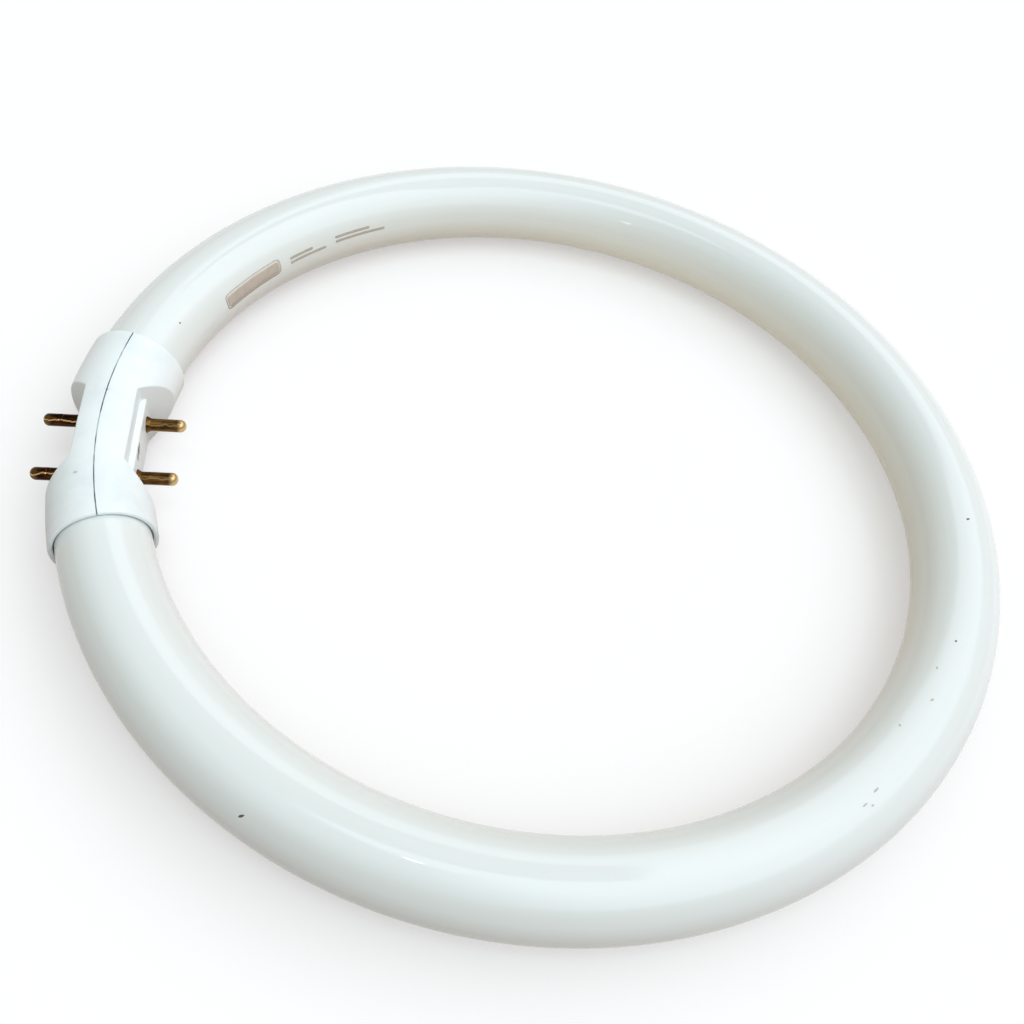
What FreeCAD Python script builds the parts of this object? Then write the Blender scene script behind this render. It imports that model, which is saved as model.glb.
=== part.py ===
"""Circular fluorescent lamp: a sealed ring of glass whose two ends meet in a moulded cap with four pins.

The ring lies in the XY plane round the origin, with its axis along +Z. The cap is at -X. Its two mouths
face front (-Y) and rear (+Y), and its pins point straight out of the ring and straight into it.
Lengths are in millimetres and angles in degrees.
"""
import FreeCAD
import Part
import Sketcher
import math
import os

# Driving dimensions: name, value and what it measures
SIZES = [
    ("ring_radius", 81.0, "centre of the ring to the axis of the glass"),
    ("tube_radius", 8.0, "outside of the glass"),
    ("shoulder_radius", 2.5, "rounded end of the glass"),
    ("end_gap", 0.3, "end of the glass to its stop in the cap"),
    ("seal_length", 2.4, "pressed seal past the rounded end"),
    ("seal_thickness", 2.4, "pressed seal along Z"),
    ("seal_gap", 1.0, "pressed seal to each side of the wire chamber"),
    ("exhaust_radius", 1.4, "tipped-off exhaust tube"),
    ("exhaust_offset", 4.6, "exhaust tube above the axis of the glass"),
    ("exhaust_round", 1.0, "rounding of the exhaust tube's tip"),
    ("seat_clearance", 0.2, "glass to the bore of a collar"),
    ("collar_wall", 0.85, "wall of a collar round the glass"),
    ("cap_length", 43.0, "cap from mouth to mouth along the axis of the glass"),
    ("mouth_chamfer", 0.25, "lead-in at the mouth of a collar"),
    ("rim_round", 0.35, "rounding of the outside of a mouth"),
    ("waist_set_in", 0.65, "straight axis of the waist inside the circle of the glass"),
    ("flank_offset", 4.5, "axis of the waist to a flat flank"),
    ("recess_slant", 45.0, "slope of the ends of a recess, in degrees off its flank's normal"),
    ("recess_round", 0.8, "rounding between the flank and the ends of a recess"),
    ("rail_step", 1.05, "rail that carries the pins, above its flank"),
    ("rail_height", 8.0, "rail along Z"),
    ("wall", 1.2, "walls round the wire chamber"),
    ("chamber_inset", 0.8, "corners of the wire chamber inside the bore"),
    ("moulding_round", 0.3, "rounding of the edges of the waist"),
    ("seam_width", 0.2, "shadow line between the halves"),
    ("seam_depth", 0.4, "depth of the shadow line"),
    ("peg_radius", 0.5, "locating peg across the seam"),
    ("peg_length", 1.6, "locating peg out of the seam"),
    ("peg_clearance", 0.1, "locating peg in its socket"),
    ("pin_spacing", 12.7, "axis to axis of the two pins of a rail"),
    ("pin_radius", 1.175, "contact stretch of a pin"),
    ("pin_reach", 7.1, "pin out of the face of its rail"),
    ("pin_clearance", 0.03, "pin in its hole"),
    ("pin_round", 1.05, "rounding of the pin's tip"),
    ("pin_tip_wall", 1.2, "closed end of the hollow to the pin's tip"),
    ("flare_radius", 1.55, "flared foot of a pin on its rail"),
    ("flare_rim", 0.15, "thickness of the foot's rim"),
    ("flare_length", 0.8, "foot along the pin"),
    ("flare_gap", 0.3, "flat of a flank past the foot of a pin"),
    ("rivet_radius", 1.7, "riveted head of a pin in the wire chamber"),
    ("rivet_thickness", 0.5, "thickness of the riveted head"),
    ("crimp_radius", 0.7, "tool that crimps a pin on its wire"),
    ("crimp_depth", 0.3, "depth of the crimp"),
    ("crimp_from_tip", 3.05, "middle of the crimp to the pin's tip"),
    ("wire_radius", 0.25, "lead wire"),
    ("wire_clearance", 0.05, "lead wire in the hollow of its pin"),
    ("wire_bend", 0.7, "bend of a lead wire, at its axis"),
    ("lead_spacing", 2.4, "axis to axis of the two wires of a seal"),
    ("wire_reach", 3.0, "wire inside its pin, past the face of the rail"),
]

# Dimensions worked out from the driving ones, as expressions
RING = "Sizes.ring_radius"
BORE = "(Sizes.tube_radius + Sizes.seat_clearance)"
COLLAR = f"({BORE} + Sizes.collar_wall)"
CAP_SWEEP = f"(Sizes.cap_length / {RING} * 180 deg / pi)"
WAIST_AXIS = f"({RING} - Sizes.waist_set_in)"
WAIST_HALF = "(Sizes.pin_spacing / 2 + Sizes.flare_radius + Sizes.flare_gap)"
SLOPE = "tan(Sizes.recess_slant * 1 deg)"
RAIL_FACE = "(Sizes.flank_offset + Sizes.rail_step)"
RAIL_HALF = f"({WAIST_HALF} + 2 * Sizes.rail_step * {SLOPE})"
RECESS_REACH = f"(2 * {COLLAR})"
RECESS_HALF = f"({WAIST_HALF} + ({RECESS_REACH} - Sizes.flank_offset) * {SLOPE})"
CHAMBER = "(Sizes.flank_offset - Sizes.wall)"
CHAMBER_TOP = f"sqrt(({BORE} - Sizes.chamber_inset)^2 - {CHAMBER}^2)"
SLANT_DEPTH = f"(({BORE} - Sizes.waist_set_in - Sizes.flank_offset) * {SLOPE})"
STOP = f"asin(({WAIST_HALF} + {SLANT_DEPTH} + Sizes.wall) / ({RING} - {BORE}))"
CHAMBER_END = f"(({RING} + {BORE}) * sin({STOP}))"
GLASS_END = f"({STOP} + (Sizes.shoulder_radius + Sizes.end_gap) / {RING} * 180 deg / pi)"
SEAL_REACH = "(Sizes.shoulder_radius + Sizes.seal_length)"
SEAL_HALF = f"({CHAMBER} - Sizes.seal_gap)"
PEG_HEIGHT = f"(({CHAMBER_TOP} + {COLLAR} - Sizes.seam_depth) / 2)"
PIN_FOOT = f"-({RAIL_FACE} - {CHAMBER})"
PIN_BORE = "(Sizes.wire_radius + Sizes.wire_clearance)"

# Directions: towards the ring's centre from the cap, rearward, up, and the vertical axis of a sketch
INWARD = FreeCAD.Vector(1, 0, 0)
REARWARD = FreeCAD.Vector(0, 1, 0)
UP = FreeCAD.Vector(0, 0, 1)
SKETCH_UP = FreeCAD.Vector(0, 1, 0)

# Nearness that counts as lying on a surface, and sample points along an edge
TOLERANCE = 1e-4
SAMPLES = 5

doc = FreeCAD.newDocument("CircularLamp")


def make_sheet():
    """Writes the driving dimensions, one to a row, with their names as aliases."""
    sheet = doc.addObject("Spreadsheet::Sheet", "Sizes")
    for row, (alias, value, meaning) in enumerate(SIZES, start=1):
        sheet.set(f"A{row}", alias)
        sheet.set(f"B{row}", str(value))
        sheet.set(f"C{row}", meaning)
        sheet.setAlias(f"B{row}", alias)
    doc.recompute()


def number(owner, expression):
    """Gives the value of an expression, with angles in degrees."""
    value = owner.evalExpression(expression)
    return float(getattr(value, "Value", value))


def bind(owner, **expressions):
    """Binds properties of an object to expressions on the sheet."""
    for path, expression in expressions.items():
        owner.setExpression(path, expression)


def origin_plane(body, role):
    """Gives one of the body's own origin planes."""
    return next(item for item in body.Origin.OriginFeatures if item.Role == role)


def new_sketch(body, name, role, shift=None, turn=None, about=None):
    """Adds a sketch on an origin plane, moved along its normal and turned about one of its axes."""
    sketch = body.newObject("Sketcher::SketchObject", name)
    sketch.AttachmentSupport = (origin_plane(body, role), "")
    sketch.MapMode = "FlatFace"
    if shift:
        sketch.setExpression("AttachmentOffset.Base.z", shift)
    if turn:
        sketch.AttachmentOffset = FreeCAD.Placement(FreeCAD.Vector(), FreeCAD.Rotation(about, 1))
        sketch.setExpression("AttachmentOffset.Rotation.Angle", turn)
    return sketch


def spot(sketch, place):
    """Gives the point at a pair of expressions."""
    return FreeCAD.Vector(number(sketch, place[0]), number(sketch, place[1]), 0)


def hold(sketch, edge, end, place, axes="XY"):
    """Holds one end, or the centre, of an edge at a pair of expressions, along X, Y or both."""
    point = spot(sketch, place)
    for axis, value, expression in (("X", point.x, place[0]), ("Y", point.y, place[1])):
        if axis in axes:
            index = sketch.addConstraint(Sketcher.Constraint(f"Distance{axis}", -1, 1, edge, end, value))
            sketch.setExpression(f"Constraints[{index}]", expression)


def join(sketch, edge, end, other, other_end):
    """Joins the ends of two edges."""
    sketch.addConstraint(Sketcher.Constraint("Coincident", edge, end, other, other_end))


def size_radius(sketch, edge, radius):
    """Sets the radius of a circle or an arc."""
    index = sketch.addConstraint(Sketcher.Constraint("Radius", edge, number(sketch, radius)))
    sketch.setExpression(f"Constraints[{index}]", radius)


def add_line(sketch, start, end):
    """Adds a straight edge between two pairs of expressions, free of constraints."""
    return sketch.addGeometry(Part.LineSegment(spot(sketch, start), spot(sketch, end)))


def add_circle(sketch, centre, radius):
    """Adds a circle at a pair of expressions."""
    circle = Part.Circle(spot(sketch, centre), UP, number(sketch, radius))
    edge = sketch.addGeometry(circle)
    hold(sketch, edge, 3, centre)
    size_radius(sketch, edge, radius)


def add_arc(sketch, centre, radius, start, end):
    """Adds an arc, counter-clockwise between two angles in degrees, held by its centre and radius."""
    circle = Part.Circle(spot(sketch, centre), UP, number(sketch, radius))
    edge = sketch.addGeometry(Part.ArcOfCircle(circle, math.radians(start), math.radians(end)))
    hold(sketch, edge, 3, centre)
    size_radius(sketch, edge, radius)
    return edge


def add_loop(sketch, corners):
    """Adds a closed outline of straight edges through corners."""
    edges = [add_line(sketch, a, b) for a, b in zip(corners, corners[1:] + corners[:1])]
    for edge, following, corner in zip(edges, edges[1:] + edges[:1], corners):
        join(sketch, edge, 2, following, 1)
        hold(sketch, edge, 1, corner)


def add_box(sketch, left, right, bottom, top):
    """Adds a rectangle between four expressions."""
    add_loop(sketch, [(left, bottom), (right, bottom), (right, top), (left, top)])


def add_chain(sketch, corners, first_axis, last_axis):
    """Adds straight edges through corners, each end of the chain held along one axis for an arc to meet."""
    edges = [add_line(sketch, a, b) for a, b in zip(corners, corners[1:])]
    for edge, following, corner in zip(edges, edges[1:], corners[1:]):
        join(sketch, edge, 2, following, 1)
        hold(sketch, following, 1, corner)
    hold(sketch, edges[0], 1, corners[0], first_axis)
    hold(sketch, edges[-1], 2, corners[-1], last_axis)
    return edges


def revolve(body, name, sketch, axis, angle, kind="Revolution"):
    """Turns a sketch about one of its axes, to both sides of its plane, or cuts that form out."""
    feature = body.newObject(f"PartDesign::{kind}", name)
    feature.Profile = sketch
    feature.ReferenceAxis = (sketch, [axis])
    feature.Midplane = True
    bind(feature, Angle=angle)
    return feature


def pad(body, name, sketch, length, midplane=True, reverse=False):
    """Adds the sketch's outline as a solid."""
    feature = body.newObject("PartDesign::Pad", name)
    feature.Profile = sketch
    feature.Midplane = midplane
    feature.Reversed = reverse
    bind(feature, Length=length)
    return feature


def pocket(body, name, sketch, length=None):
    """Cuts the sketch's outline out to both sides of its plane, right through where no length is given."""
    feature = body.newObject("PartDesign::Pocket", name)
    feature.Profile = sketch
    feature.Midplane = True
    if length:
        bind(feature, Length=length)
    else:
        feature.Type = "ThroughAll"
    return feature


def mirror(body, name, originals):
    """Repeats features on the other side of the XZ plane."""
    feature = body.newObject("PartDesign::Mirrored", name)
    feature.Originals = originals
    feature.MirrorPlane = (origin_plane(body, "XZ_Plane"), [""])
    body.Tip = feature
    return feature


def dress_edges(body, name, kind, test, **sizes):
    """Rounds or chamfers the edges of the body's tip on which every sample point passes the test."""
    doc.recompute()
    base = body.Tip
    names = []
    for index, edge in enumerate(base.Shape.Edges, start=1):
        if all(test(point) for point in edge.discretize(SAMPLES)):
            names.append(f"Edge{index}")
    feature = body.newObject(f"PartDesign::{kind}", name)
    feature.Base = (base, names)
    bind(feature, **sizes)
    return feature


def make_glass_tube():
    """The bulb: a ring of tube whose rounded ends carry a pressed seal and a tipped-off exhaust tube."""
    body = doc.addObject("PartDesign::Body", "glass_tube")

    section = new_sketch(body, "TubeSection", "XZ_Plane")
    add_circle(section, (RING, "0"), "Sizes.tube_radius")
    revolve(body, "Tube", section, "V_Axis", f"360 deg - 2 * {GLASS_END}")

    # The rear end, in a plane turned so that its X axis runs through the end of the glass
    outline = new_sketch(body, "ShoulderOutline", "XY_Plane", turn=f"-{GLASS_END}", about=UP)
    crest = "-Sizes.shoulder_radius"
    flat_edge = f"-({RING} + Sizes.tube_radius - Sizes.shoulder_radius)"
    rim = f"-({RING} + Sizes.tube_radius)"
    axis = f"-{RING}"
    corners = [(flat_edge, crest), (axis, crest), (axis, "0"), (rim, "0")]
    edges = add_chain(outline, corners, "X", "Y")
    arc = add_arc(outline, (flat_edge, "0"), "Sizes.shoulder_radius", 180, 270)
    join(outline, edges[-1], 2, arc, 1)
    join(outline, arc, 2, edges[0], 1)
    centre_line = add_line(outline, (axis, crest), (axis, "0"))
    outline.toggleConstruction(centre_line)
    join(outline, centre_line, 1, edges[1], 1)
    join(outline, centre_line, 2, edges[1], 2)
    shoulder = revolve(body, "Shoulder", outline, "Axis0", "360 deg")

    seal_outline = new_sketch(body, "SealOutline", "XZ_Plane", turn=f"-{GLASS_END}", about=SKETCH_UP)
    add_box(
        seal_outline,
        f"-({RING} + {SEAL_HALF})",
        f"-({RING} - {SEAL_HALF})",
        "-Sizes.seal_thickness / 2",
        "Sizes.seal_thickness / 2",
    )
    seal = pad(body, "Seal", seal_outline, SEAL_REACH, midplane=False)

    exhaust_outline = new_sketch(body, "ExhaustOutline", "XZ_Plane", turn=f"-{GLASS_END}", about=SKETCH_UP)
    add_circle(exhaust_outline, (f"-{RING}", "Sizes.exhaust_offset"), "Sizes.exhaust_radius")
    exhaust = pad(body, "Exhaust", exhaust_outline, SEAL_REACH, midplane=False)
    mirror(body, "BothEnds", [shoulder, seal, exhaust])

    ring = number(body, RING)
    exhaust_radius = number(body, "Sizes.exhaust_radius")
    exhaust_offset = number(body, "Sizes.exhaust_offset")
    end = math.radians(number(body, GLASS_END))
    reach = number(body, SEAL_REACH)

    def on_exhaust_tip(point):
        along = abs(point.y) * math.cos(end) + point.x * math.sin(end)
        out = abs(point.y) * math.sin(end) - point.x * math.cos(end) - ring
        from_axis = math.hypot(out, point.z - exhaust_offset)
        return abs(along + reach) < TOLERANCE and abs(from_axis - exhaust_radius) < TOLERANCE

    dress_edges(body, "ExhaustTip", "Fillet", on_exhaust_tip, Radius="Sizes.exhaust_round")
    return body


def make_cap_half(label, out):
    """One moulding of the cap: out is 1 for the half outside the circle of the glass, -1 for the other."""
    body = doc.addObject("PartDesign::Body", label)

    def across(base, distance):
        """Gives the X of a place at a distance from a radius, on this half's side of it."""
        return f"-({base} + {out} * {distance})"

    # Half round with a step along both edges of the seam, for the shadow line
    section = new_sketch(body, "RoundSection", "XZ_Plane")
    step = across(RING, "Sizes.seam_width / 2")
    seam = across(RING, "0")
    land = f"({COLLAR} - Sizes.seam_depth)"
    edge_top = f"sqrt({COLLAR}^2 - (Sizes.seam_width / 2)^2)"
    corners = [
        (step, edge_top),
        (step, land),
        (seam, land),
        (seam, f"-{land}"),
        (step, f"-{land}"),
        (step, f"-{edge_top}"),
    ]
    edges = add_chain(section, corners, "X", "X")
    first_angle = 90 if out > 0 else -90
    arc = add_arc(section, (f"-{RING}", "0"), COLLAR, first_angle, first_angle + 180)
    top_end, bottom_end = (1, 2) if out > 0 else (2, 1)
    join(section, arc, top_end, edges[0], 1)
    join(section, arc, bottom_end, edges[-1], 2)
    revolve(body, "Round", section, "V_Axis", CAP_SWEEP)

    # Recess between the collars, with a flat flank and slanted ends, and the rail that carries the pins
    recess = new_sketch(body, "RecessOutline", "XY_Plane")
    flank = across(WAIST_AXIS, "Sizes.flank_offset")
    clear = across(WAIST_AXIS, RECESS_REACH)
    corners = [
        (flank, f"-{WAIST_HALF}"),
        (clear, f"-{RECESS_HALF}"),
        (clear, RECESS_HALF),
        (flank, WAIST_HALF),
    ]
    add_loop(recess, corners)
    pocket(body, "Recess", recess)
    flank_face = number(body, flank)
    flank_end = number(body, WAIST_HALF)

    def in_corner(point):
        return abs(point.x - flank_face) < TOLERANCE and abs(abs(point.y) - flank_end) < TOLERANCE

    dress_edges(body, "RecessCorners", "Fillet", in_corner, Radius="Sizes.recess_round")
    rail = new_sketch(body, "RailOutline", "YZ_Plane", shift=across(WAIST_AXIS, CHAMBER))
    add_box(rail, f"-{RAIL_HALF}", RAIL_HALF, "-Sizes.rail_height / 2", "Sizes.rail_height / 2")
    pad(body, "Rail", rail, f"{RAIL_FACE} - {CHAMBER}", midplane=False, reverse=out > 0)

    # Seats of the glass, from the stops to the mouths, and the wire chamber between them
    seat_middle = f"({CAP_SWEEP} / 2 + {STOP}) / 2"
    seat = new_sketch(body, "SeatSection", "XZ_Plane", turn=f"-{seat_middle}", about=SKETCH_UP)
    add_circle(seat, (f"-{RING}", "0"), BORE)
    rear_seat = revolve(body, "RearSeat", seat, "V_Axis", f"{CAP_SWEEP} / 2 - {STOP}", kind="Groove")
    mirror(body, "BothSeats", [rear_seat])
    chamber = new_sketch(body, "ChamberOutline", "YZ_Plane", shift=f"-{WAIST_AXIS}")
    add_box(chamber, f"-{CHAMBER_END}", CHAMBER_END, f"-{CHAMBER_TOP}", CHAMBER_TOP)
    pocket(body, "Chamber", chamber, f"2 * {CHAMBER}")

    holes = new_sketch(body, "PinHoles", "YZ_Plane", shift=f"-{WAIST_AXIS}")
    for side in ("-", ""):
        add_circle(holes, (f"{side}Sizes.pin_spacing / 2", "0"), "Sizes.pin_radius + Sizes.pin_clearance")
    pocket(body, "PinHole", holes)

    # Pegs on the outer half and their sockets in the inner half
    pegs = new_sketch(body, "PegOutline", "YZ_Plane", shift=f"-{RING}")
    play = "0" if out > 0 else "Sizes.peg_clearance"
    for side in ("-", ""):
        add_circle(pegs, ("0", f"{side}{PEG_HEIGHT}"), f"Sizes.peg_radius + {play}")
    if out > 0:
        pad(body, "Pegs", pegs, "2 * Sizes.peg_length")
    else:
        pocket(body, "Sockets", pegs, "2 * (Sizes.peg_length + Sizes.peg_clearance)")

    # Mould radii
    ring = number(body, RING)
    collar = number(body, COLLAR)
    bore = number(body, BORE)
    mouth = number(body, CAP_SWEEP) / 2
    rail_face = number(body, across(WAIST_AXIS, RAIL_FACE))
    rail_edge = number(body, "Sizes.rail_height / 2")
    seam_reach = number(body, "Sizes.seam_width")

    def from_axis(point):
        return math.hypot(math.hypot(point.x, point.y) - ring, point.z)

    def at_mouth(point):
        return abs(math.degrees(math.atan2(abs(point.y), -point.x)) - mouth) < TOLERANCE

    def on_lead_in(point):
        return at_mouth(point) and abs(from_axis(point) - bore) < TOLERANCE

    def on_rim(point):
        return at_mouth(point) and abs(from_axis(point) - collar) < TOLERANCE

    def on_waist(point):
        on_round = abs(from_axis(point) - collar) < TOLERANCE
        off_seam = abs(math.hypot(point.x, point.y) - ring) > seam_reach
        on_rail = abs(point.x - rail_face) < TOLERANCE and abs(abs(point.z) - rail_edge) < TOLERANCE
        return (on_round and off_seam and not at_mouth(point)) or on_rail

    dress_edges(body, "LeadIn", "Chamfer", on_lead_in, Size="Sizes.mouth_chamfer")
    dress_edges(body, "Rim", "Fillet", on_rim, Radius="Sizes.rim_round")
    dress_edges(body, "WaistEdges", "Fillet", on_waist, Radius="Sizes.moulding_round")
    return body


def make_pin(label, out, side):
    """A hollow contact pin, drawn along its own Z from the face of the rail and then set in its hole."""
    body = doc.addObject("PartDesign::Body", label)
    outline = new_sketch(body, "PinOutline", "XZ_Plane")
    head = f"({PIN_FOOT} - Sizes.rivet_thickness)"
    bore_end = "(Sizes.pin_reach - Sizes.pin_tip_wall)"
    round_start = "(Sizes.pin_reach - Sizes.pin_round)"
    crown = "(Sizes.pin_radius - Sizes.pin_round)"
    corners = [
        (crown, "Sizes.pin_reach"),
        ("0", "Sizes.pin_reach"),
        ("0", bore_end),
        (PIN_BORE, bore_end),
        (PIN_BORE, head),
        ("Sizes.rivet_radius", head),
        ("Sizes.rivet_radius", PIN_FOOT),
        ("Sizes.pin_radius", PIN_FOOT),
        ("Sizes.pin_radius", "0"),
        ("Sizes.flare_radius", "0"),
        ("Sizes.flare_radius", "Sizes.flare_rim"),
        ("Sizes.pin_radius", "Sizes.flare_length"),
        ("Sizes.pin_radius", round_start),
    ]
    edges = add_chain(outline, corners, "X", "Y")
    arc = add_arc(outline, (crown, round_start), "Sizes.pin_round", 0, 90)
    join(outline, edges[-1], 2, arc, 1)
    join(outline, arc, 2, edges[0], 1)
    revolve(body, "Turned", outline, "V_Axis", "360 deg")

    # The crimp faces up on the outer pins and down on the inner ones, which are set in the other way round
    crimp = new_sketch(body, "CrimpOutline", "XZ_Plane")
    centre = (
        "Sizes.pin_radius - Sizes.crimp_depth + Sizes.crimp_radius",
        "Sizes.pin_reach - Sizes.crimp_from_tip",
    )
    add_circle(crimp, centre, "Sizes.crimp_radius")
    pocket(body, "Crimp", crimp)

    body.Placement = FreeCAD.Placement(FreeCAD.Vector(), FreeCAD.Rotation(REARWARD, -90 * out))
    body.setExpression("Placement.Base.x", f"-({WAIST_AXIS} + {out} * {RAIL_FACE})")
    body.setExpression("Placement.Base.y", f"{side} * Sizes.pin_spacing / 2")
    return body


def make_lead(label, out, side):
    """A lead wire from a seal into its pin, drawn for the rear end and turned about X for the front one."""
    body = doc.addObject("PartDesign::Body", label)
    from_centre = f"({RING} + {out} * Sizes.lead_spacing / 2)"
    start = (
        f"(-{from_centre} * cos({GLASS_END}) - {SEAL_REACH} * sin({GLASS_END}))",
        f"({from_centre} * sin({GLASS_END}) - {SEAL_REACH} * cos({GLASS_END}))",
    )
    pin_line = "Sizes.pin_spacing / 2"
    corner = f"({start[0]} - ({start[1]} - {pin_line}) * tan({GLASS_END}))"
    setback = f"Sizes.wire_bend * tan((90 deg - {out} * {GLASS_END}) / 2)"
    centre = (f"{corner} - {out} * {setback}", f"{pin_line} + Sizes.wire_bend")
    bend_start = (
        f"{centre[0]} + {out} * Sizes.wire_bend * cos({GLASS_END})",
        f"{centre[1]} - {out} * Sizes.wire_bend * sin({GLASS_END})",
    )
    bend_end = (centre[0], pin_line)
    end = (f"-({WAIST_AXIS} + {out} * ({RAIL_FACE} + Sizes.wire_reach))", pin_line)

    route = new_sketch(body, "Route", "XY_Plane")
    tilt = number(route, GLASS_END)
    angles = (270, 360 - tilt) if out > 0 else (180 - tilt, 270)
    start_end, pin_end = (2, 1) if out > 0 else (1, 2)
    leaving = add_line(route, start, bend_start)
    arc = add_arc(route, centre, "Sizes.wire_bend", *angles)
    entering = add_line(route, bend_end, end)
    hold(route, leaving, 1, start)
    hold(route, leaving, 2, bend_start, "Y")
    hold(route, entering, 1, bend_end, "X")
    hold(route, entering, 2, end)
    join(route, leaving, 2, arc, start_end)
    join(route, arc, pin_end, entering, 1)

    section = new_sketch(body, "WireSection", "YZ_Plane", shift=end[0])
    add_circle(section, (pin_line, "0"), "Sizes.wire_radius")
    wire = body.newObject("PartDesign::AdditivePipe", "Wire")
    wire.Profile = section
    wire.Spine = (route, ["Edge3", "Edge2", "Edge1"])
    if side < 0:
        body.Placement = FreeCAD.Placement(FreeCAD.Vector(), FreeCAD.Rotation(INWARD, 180))
    return body


def main():
    """Builds every piece, checks it and writes it out."""
    make_sheet()
    pieces = [make_glass_tube(), make_cap_half("outer_cap_half", 1), make_cap_half("inner_cap_half", -1)]
    for row, out in (("outer", 1), ("inner", -1)):
        for place, side in (("front", -1), ("rear", 1)):
            pieces.append(make_pin(f"{row}_{place}_pin", out, side))
            pieces.append(make_lead(f"{row}_{place}_lead", out, side))
    doc.recompute()

    for item in doc.Objects:
        if "Invalid" in item.State or "Error" in item.State:
            raise RuntimeError(f"{item.Label} failed: {item.State}")
    os.makedirs("parts", exist_ok=True)
    for piece in pieces:
        shape = piece.Shape
        if shape.isNull() or not shape.isValid() or len(shape.Solids) != 1:
            raise RuntimeError(f"{piece.Label} is not one valid solid")
        print(piece.Label, round(shape.Volume, 3), shape.BoundBox)
        shape.exportStep(f"parts/{piece.Label}.step")


main()
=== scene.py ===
"""Dresses the circular fluorescent tube: the milky glass ring, its moulded cap, its pins and its wires."""

from __future__ import annotations

import logging
import math
from dataclasses import dataclass, field
from enum import Enum
from typing import Any

import bmesh
import bpy
from mathutils import Euler, Matrix, Vector

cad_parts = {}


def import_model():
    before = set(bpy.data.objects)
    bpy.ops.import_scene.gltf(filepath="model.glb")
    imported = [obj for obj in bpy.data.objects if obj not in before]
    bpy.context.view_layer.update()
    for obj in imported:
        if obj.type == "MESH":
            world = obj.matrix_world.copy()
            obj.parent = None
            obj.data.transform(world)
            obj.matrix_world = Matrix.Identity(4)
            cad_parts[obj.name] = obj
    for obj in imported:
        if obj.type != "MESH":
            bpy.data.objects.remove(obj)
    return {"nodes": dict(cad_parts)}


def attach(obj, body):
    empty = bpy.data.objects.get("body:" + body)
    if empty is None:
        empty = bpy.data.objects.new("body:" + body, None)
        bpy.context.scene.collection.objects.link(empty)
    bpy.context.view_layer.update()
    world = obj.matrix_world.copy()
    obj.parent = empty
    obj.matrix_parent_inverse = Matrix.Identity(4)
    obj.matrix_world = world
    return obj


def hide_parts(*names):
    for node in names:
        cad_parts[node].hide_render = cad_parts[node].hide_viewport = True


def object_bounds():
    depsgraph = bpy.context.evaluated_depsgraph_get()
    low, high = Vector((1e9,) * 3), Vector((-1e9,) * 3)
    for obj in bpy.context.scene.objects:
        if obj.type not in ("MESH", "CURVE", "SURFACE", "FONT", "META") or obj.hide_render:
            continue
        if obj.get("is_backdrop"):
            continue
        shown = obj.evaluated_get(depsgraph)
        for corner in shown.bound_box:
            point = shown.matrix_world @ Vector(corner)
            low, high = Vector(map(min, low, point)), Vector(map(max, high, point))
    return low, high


LOG = logging.getLogger("circular_tube")
MM = 0.001
BODY = "root"

# Driving sizes of the glass, in millimetres
RING_RADIUS = 81.0
TUBE_RADIUS = 8.0

# Nodes that are used often, and pairs of their inputs
MATH = "ShaderNodeMath"
VECTOR = "ShaderNodeVectorMath"
RANGE = "ShaderNodeMapRange"
NOISE = "ShaderNodeTexNoise"
MIX = "ShaderNodeMix"
BUMP = "ShaderNodeBump"
FROM = ("From Min", "From Max")
TO = ("To Min", "To Max")
COLOURS = (6, 7)

# A span is the two ends of a range, or a length and a width
Span = tuple[float, float]
Triple = tuple[float, float, float]
# A band starts, is full, starts to fade and has ended
Band = tuple[float, float, float, float]

# Short names of Blender's types, where a source is what an input can be linked from
Material = bpy.types.Material
Node = bpy.types.Node
Object = bpy.types.Object
Socket = bpy.types.NodeSocket
Tree = bpy.types.NodeTree
Source = Node | Socket


class PinRow(Enum):
    """The two rows of contact pins."""

    OUTER = "outer"
    INNER = "inner"


class Place(Enum):
    """The two ends of the cap, as the viewer sees them."""

    FRONT = "front"
    REAR = "rear"


class MarkKind(Enum):
    """Kinds of dirt on the lamp."""

    GRIT = "grit"
    SMEAR = "smear"


class InkTone(Enum):
    """The inks of the print, from the lowest layer to the highest."""

    LINE = 0
    PALE = 1
    FIELD = 2


def linear(code: str) -> tuple[float, float, float, float]:
    """Turns an sRGB hex colour into linear light.

    Args:
        code: Colour as "#RRGGBB".

    Returns:
        Red, green, blue and an alpha of one.
    """
    shares = [int(code[i : i + 2], 16) / 255 for i in (1, 3, 5)]
    red, green, blue = (s / 12.92 if s <= 0.04045 else ((s + 0.055) / 1.055) ** 2.4 for s in shares)
    return red, green, blue, 1.0


def feed(node: Node, inputs: dict[Any, Any]) -> None:
    """Sets inputs of a node.

    Args:
        node: The node.
        inputs: For each input's name or index, a value, a hex colour, a socket to link from, or a node whose
            first output in use is linked. A tuple of names takes a tuple of these.
    """
    for key, value in inputs.items():
        if isinstance(key, tuple):
            feed(node, dict(zip(key, value)))
            continue
        if isinstance(value, Node):
            value = next(output for output in value.outputs if output.enabled)
        if isinstance(value, Socket):
            node.id_data.links.new(value, node.inputs[key])
        elif isinstance(value, str) and value.startswith("#"):
            node.inputs[key].default_value = linear(value)
        else:
            node.inputs[key].default_value = value


def add_node(tree: Tree, kind: str, inputs: dict[Any, Any] | None = None, **settings: Any) -> Node:
    """Adds one node to a tree, with its settings and links.

    Args:
        tree: Tree that gets the node.
        kind: Blender's identifier of the node.
        inputs: What its inputs get, in the form that feed takes.
        settings: The node's own properties.

    Returns:
        The new node.
    """
    node = tree.nodes.new(kind)
    for name, value in settings.items():
        setattr(node, name, value)
    feed(node, inputs or {})
    return node


def per_metre(size_mm: float) -> float:
    """Gives the texture scale at which a pattern's features are about a size in millimetres."""
    return 1 / (size_mm * MM)


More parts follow.
